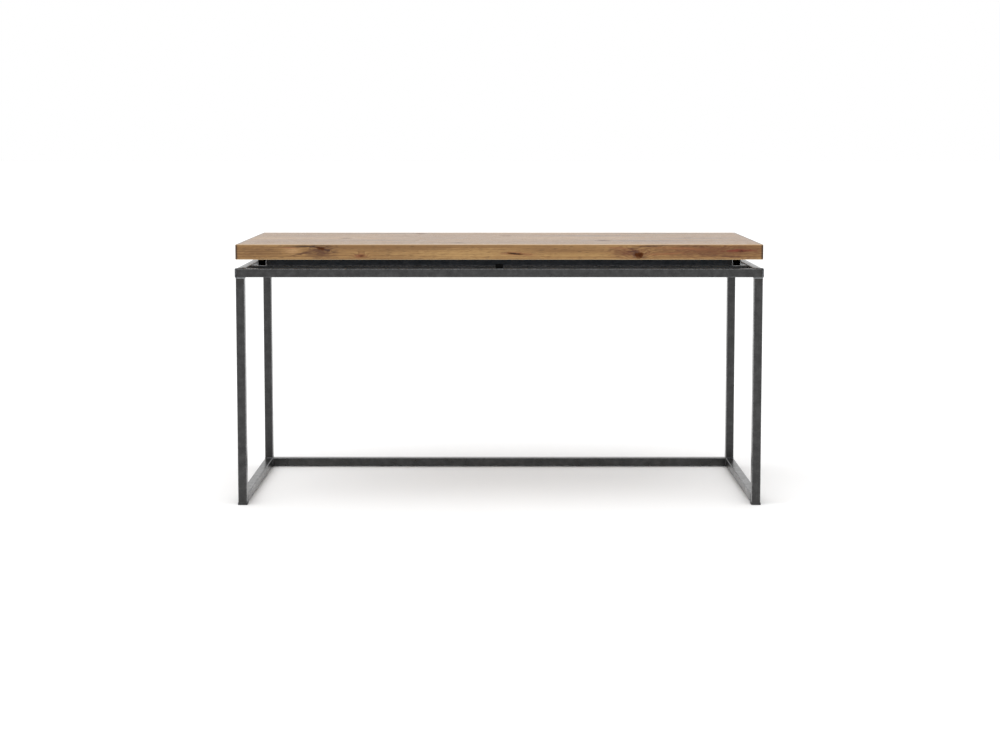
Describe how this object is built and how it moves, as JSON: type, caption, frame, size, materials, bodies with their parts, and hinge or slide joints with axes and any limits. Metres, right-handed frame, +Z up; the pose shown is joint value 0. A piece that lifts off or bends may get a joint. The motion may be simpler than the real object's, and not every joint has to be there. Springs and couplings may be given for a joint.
{
  "type": "height adjustable standing desk",
  "caption": "Standing desk with a thick solid oak top on a blackened square tube frame that rises out of its hollow legs on gas springs, freed by a paddle on the front rail.",
  "frame": {"origin": "on the floor under the middle of the desk, with the desk at its lowest", "axes": "+X to the right seen from the front, +Y from the front to the back, +Z up"},
  "size_m": [1.526, 0.6116, 0.762],
  "materials": {
    "oak_top": "rustic solid oak, matt oiled, with knots and drying cracks",
    "blackened_steel": "blackened mill steel under a satin clear coat, welds ground flush",
    "black_nylon": "moulded, fine texture",
    "grey_nylon": "moulded, smooth",
    "plated_steel": "zinc plated, satin",
    "spring_paint": "black enamel, half gloss",
    "spring_chrome": "ground and polished"
  },
  "bodies": {
    "base": {"leg_front_left": "blackened_steel", "leg_front_right": "blackened_steel", "leg_back_left": "blackened_steel", "leg_back_right": "blackened_steel", "bottom_rail_left": "blackened_steel", "bottom_rail_right": "blackened_steel", "bottom_rail_back": "blackened_steel", "foot_front_left": "black_nylon", "foot_front_right": "black_nylon", "foot_back_left": "black_nylon", "foot_back_right": "black_nylon", "guide_bush_front_left": "grey_nylon", "guide_bush_front_right": "grey_nylon", "guide_bush_back_left": "grey_nylon", "guide_bush_back_right": "grey_nylon", "spring_cylinder_front_left": "spring_paint", "spring_cylinder_front_right": "spring_paint", "spring_cylinder_back_left": "spring_paint", "spring_cylinder_back_right": "spring_paint", "spring_standoff_front_left": "plated_steel", "spring_standoff_front_right": "plated_steel", "spring_standoff_back_left": "plated_steel", "spring_standoff_back_right": "plated_steel"},
    "lift": {"ring_rail_front": "blackened_steel", "ring_rail_back": "blackened_steel", "ring_rail_left": "blackened_steel", "ring_rail_right": "blackened_steel", "inner_post_front_left": "plated_steel", "inner_post_front_right": "plated_steel", "inner_post_back_left": "plated_steel", "inner_post_back_right": "plated_steel", "post_shoe_front_left": "grey_nylon", "post_shoe_front_right": "grey_nylon", "post_shoe_back_left": "grey_nylon", "post_shoe_back_right": "grey_nylon", "spring_rod_front_left": "spring_chrome", "spring_rod_front_right": "spring_chrome", "spring_rod_back_left": "spring_chrome", "spring_rod_back_right": "spring_chrome", "carrier_bar_front": "blackened_steel", "carrier_bar_back": "blackened_steel", "spacer_rail_front": "blackened_steel", "spacer_rail_back": "blackened_steel", "spacer_rail_left": "blackened_steel", "spacer_rail_right": "blackened_steel", "spacer_brace": "blackened_steel", "desktop": "oak_top", "top_screw_front_left": "plated_steel", "top_screw_front_right": "plated_steel", "top_screw_back_left": "plated_steel", "top_screw_back_right": "plated_steel", "shaft_bearing_left": "black_nylon", "shaft_bearing_right": "black_nylon"},
    "release": {"release_paddle": "black_nylon", "release_shaft": "plated_steel", "release_cam_left": "plated_steel", "release_cam_right": "plated_steel"},
    "pin_left": {"release_pin_left": "plated_steel"},
    "pin_right": {"release_pin_right": "plated_steel"}
  },
  "joints": [
    {"name": "lift_slide", "type": "slide", "parent": "base", "child": "lift", "axis": [0, 0, 1], "range_m": [0, 0.33]},
    {"name": "release_hinge", "type": "hinge", "parent": "lift", "child": "release", "pos_m": [0, -0.2861, 0.6805], "axis": [1, 0, 0], "range_deg": [0, 15], "stiffness_Nm_per_rad": 0.1, "springref_deg": -11.46},
    {"name": "pin_left_slide", "type": "slide", "parent": "lift", "child": "pin_left", "axis": [0, 0, -1], "range_m": [0, 0.0016]},
    {"name": "pin_right_slide", "type": "slide", "parent": "lift", "child": "pin_right", "axis": [0, 0, -1], "range_m": [0, 0.0016]}
  ],
  "couplings": [
    {"joint": "pin_left_slide", "follows": "release_hinge", "m_per_rad": 0.006},
    {"joint": "pin_right_slide", "follows": "release_hinge", "m_per_rad": 0.006}
  ]
}
